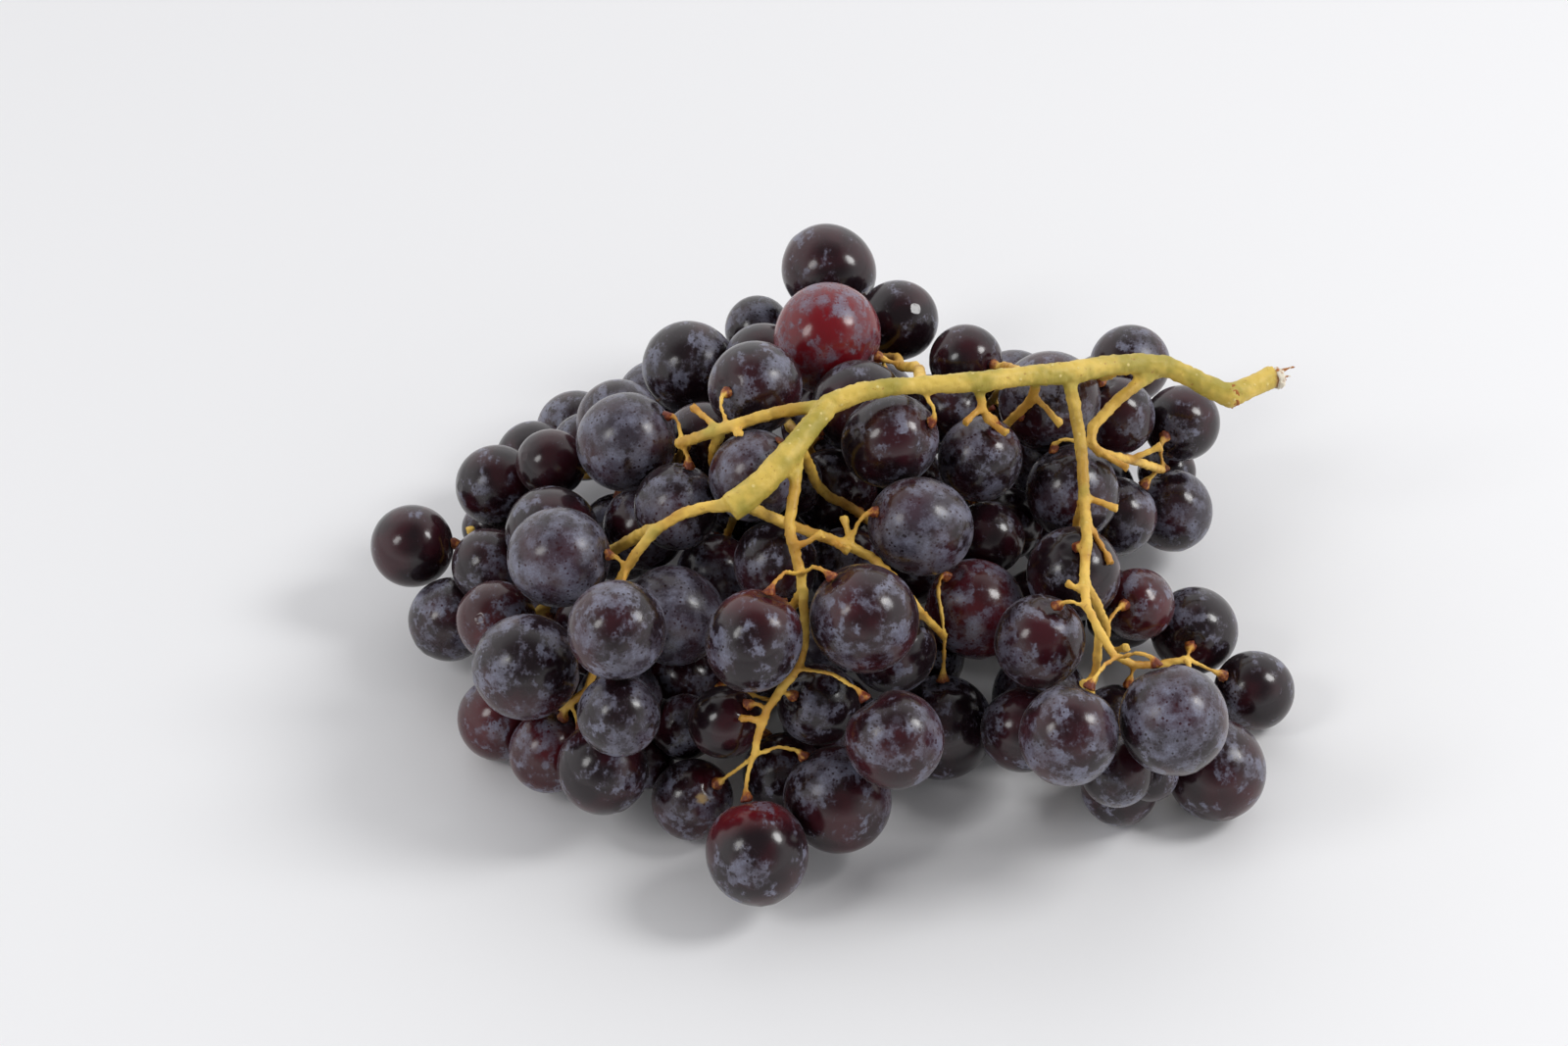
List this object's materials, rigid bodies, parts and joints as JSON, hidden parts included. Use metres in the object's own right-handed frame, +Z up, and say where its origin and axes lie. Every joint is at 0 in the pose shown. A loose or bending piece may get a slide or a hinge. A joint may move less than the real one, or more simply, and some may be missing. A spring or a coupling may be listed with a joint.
{
  "type": "bunch of black table grapes",
  "caption": "Bunch of black table grapes lying on its side: round bloomed berries of mixed size on one branching stalk, main stem uppermost, with its cut end at one side.",
  "frame": {"origin": "on the table under the middle of the bunch, at the centre of the base of its bounding box", "axes": "+Z up from the table, +X along the bunch towards the cut end of the main stem, +Y away from the side with the longest hanging sprig"},
  "size_m": [0.1966, 0.167, 0.072],
  "materials": {
    "black_skin": "satin",
    "red_skin": "satin",
    "stalk": "satin"
  },
  "bodies": {
    "root": {"back_berry_1": "black_skin", "back_clump_1": "black_skin", "back_clump_2": "red_skin", "back_clump_3": "black_skin", "back_left_berry_1": "black_skin", "back_left_berry_2": "black_skin", "back_left_clump_1": "black_skin", "core_berry_1": "black_skin", "core_berry_2": "black_skin", "core_clump_1": "black_skin", "front_berry_1": "red_skin", "front_berry_2": "black_skin", "front_berry_3": "black_skin", "front_berry_4": "black_skin", "front_berry_5": "black_skin", "front_berry_6": "black_skin", "front_berry_7": "black_skin", "front_clump_1": "black_skin", "front_core_berry_1": "black_skin", "front_core_berry_2": "black_skin", "front_core_berry_3": "black_skin", "front_core_berry_4": "black_skin", "front_left_berry_1": "black_skin", "front_left_berry_2": "black_skin", "front_left_clump_1": "black_skin", "left_core_clump_1": "black_skin", "left_shoulder_berry_1": "black_skin", "left_shoulder_berry_2": "black_skin", "left_shoulder_berry_3": "black_skin", "left_shoulder_berry_4": "black_skin", "left_shoulder_clump_1": "black_skin", "middle_berry_1": "black_skin", "middle_berry_2": "black_skin", "middle_clump_1": "black_skin", "right_back_berry_1": "black_skin", "right_back_clump_1": "black_skin", "right_back_clump_2": "black_skin", "right_back_far_berry_1": "black_skin", "right_back_far_clump_1": "black_skin", "right_core_berry_1": "black_skin", "right_front_berry_1": "black_skin", "right_front_berry_2": "black_skin", "right_front_berry_3": "black_skin", "right_front_berry_4": "black_skin", "right_front_clump_1": "black_skin", "right_front_core_clump_1": "black_skin", "right_front_low_berry_1": "black_skin", "right_front_low_berry_2": "black_skin", "right_front_low_berry_3": "black_skin", "stalk": "stalk", "tail_berry_1": "black_skin", "tail_berry_2": "black_skin", "tail_clump_1": "black_skin", "tail_clump_2": "black_skin", "tail_clump_3": "black_skin", "under_core_berry_1": "black_skin", "under_core_berry_2": "black_skin", "under_core_clump_1": "black_skin", "under_stem_berry_1": "black_skin", "under_stem_berry_2": "black_skin"}
  },
  "joints": []
}
